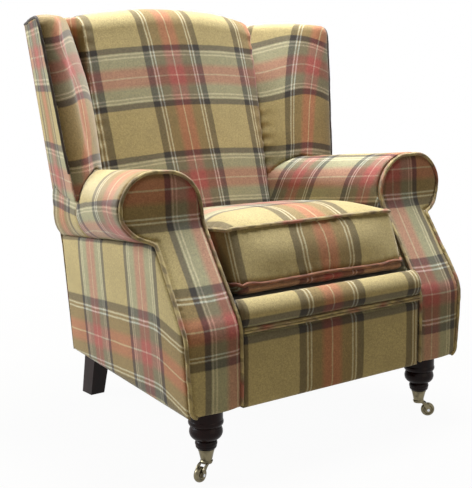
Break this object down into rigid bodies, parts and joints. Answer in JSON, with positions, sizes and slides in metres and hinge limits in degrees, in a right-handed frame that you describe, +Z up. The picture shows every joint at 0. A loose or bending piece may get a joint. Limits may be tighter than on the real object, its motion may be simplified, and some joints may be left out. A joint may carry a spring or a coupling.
{
  "type": "fireside wing chair",
  "caption": "High-backed upholstered fireside chair with wings, scroll arms, a loose seat cushion, turned front legs on cup castors and raked square back legs.",
  "frame": {"origin": "on the floor, under the middle of the chair's bounding box", "axes": "+Z up, the chair faces -Y, +X is the right-hand side of someone who looks at its front"},
  "size_m": [0.8992, 0.7694, 0.968],
  "materials": {
    "plaid_wool": "brushed wool twill in a large olive, red, sage and charcoal plaid",
    "plaid_piping": "self piping cut from the same plaid",
    "deck_cloth": "plain platform cloth over a foam pad",
    "dust_cloth": "thin black non-woven cloth",
    "webbing": "woven elastic strap",
    "beech": "sawn, unfinished",
    "plywood": "birch ply, unfinished",
    "dark_mahogany": "dark mahogany stain under satin lacquer",
    "polished_brass": "polished and lightly tarnished",
    "steel": "plain zinc-plated"
  },
  "bodies": {
    "frame": {"arm_left": "plaid_wool", "arm_post_left": "beech", "arm_post_right": "beech", "arm_rail_left": "beech", "arm_rail_right": "beech", "arm_right": "plaid_wool", "back_post_left": "beech", "back_post_right": "beech", "back_rail": "beech", "border_piping": "plaid_piping", "castor_cup_left": "polished_brass", "castor_cup_right": "polished_brass", "castor_pivot_left": "polished_brass", "castor_pivot_right": "polished_brass", "corner_blocks": "beech", "crest_rail": "beech", "dust_cloth": "dust_cloth", "facing_board_left": "plywood", "facing_board_right": "plywood", "facing_left": "plaid_wool", "facing_piping_left": "plaid_piping", "facing_piping_right": "plaid_piping", "facing_right": "plaid_wool", "front_border": "plaid_wool", "front_leg_left": "dark_mahogany", "front_leg_right": "dark_mahogany", "front_panel": "plaid_wool", "front_rail": "beech", "inside_back": "plaid_wool", "leg_bolts": "steel", "lower_back_rail": "beech", "outside_arm_left": "plaid_wool", "outside_arm_right": "plaid_wool", "outside_back": "plaid_wool", "rear_leg_left": "dark_mahogany", "rear_leg_right": "dark_mahogany", "seat_deck": "deck_cloth", "seat_webbing": "webbing", "side_rail_left": "beech", "side_rail_right": "beech", "wing_left": "plaid_wool", "wing_piping_left": "plaid_piping", "wing_piping_right": "plaid_piping", "wing_post_left": "beech", "wing_post_right": "beech", "wing_rail_left": "beech", "wing_rail_right": "beech", "wing_right": "plaid_wool"},
    "castor_left": {"castor_axle_left": "steel", "castor_horn_left": "polished_brass"},
    "castor_right": {"castor_axle_right": "steel", "castor_horn_right": "polished_brass"},
    "wheel_left": {"castor_wheel_left": "polished_brass"},
    "wheel_right": {"castor_wheel_right": "polished_brass"},
    "cushion": {"cushion_piping": "plaid_piping", "seat_cushion": "plaid_wool"}
  },
  "joints": [
    {"name": "castor_left_swivel", "type": "hinge", "parent": "frame", "child": "castor_left", "pos_m": [-0.308, -0.32673, 0.036], "axis": [0, 0, 1], "continuous": true},
    {"name": "wheel_left_roll", "type": "hinge", "parent": "castor_left", "child": "wheel_left", "pos_m": [-0.32892, -0.33353, 0.016], "axis": [0.309, -0.9511, 0], "continuous": true},
    {"name": "castor_right_swivel", "type": "hinge", "parent": "frame", "child": "castor_right", "pos_m": [0.308, -0.32673, 0.036], "axis": [0, 0, 1], "continuous": true},
    {"name": "wheel_right_roll", "type": "hinge", "parent": "castor_right", "child": "wheel_right", "pos_m": [0.3258, -0.33967, 0.016], "axis": [0.5878, 0.809, 0], "continuous": true},
    {"name": "cushion_lift", "type": "slide", "parent": "frame", "child": "cushion", "axis": [0, 0, 1], "range_m": [0, 0.25]}
  ]
}
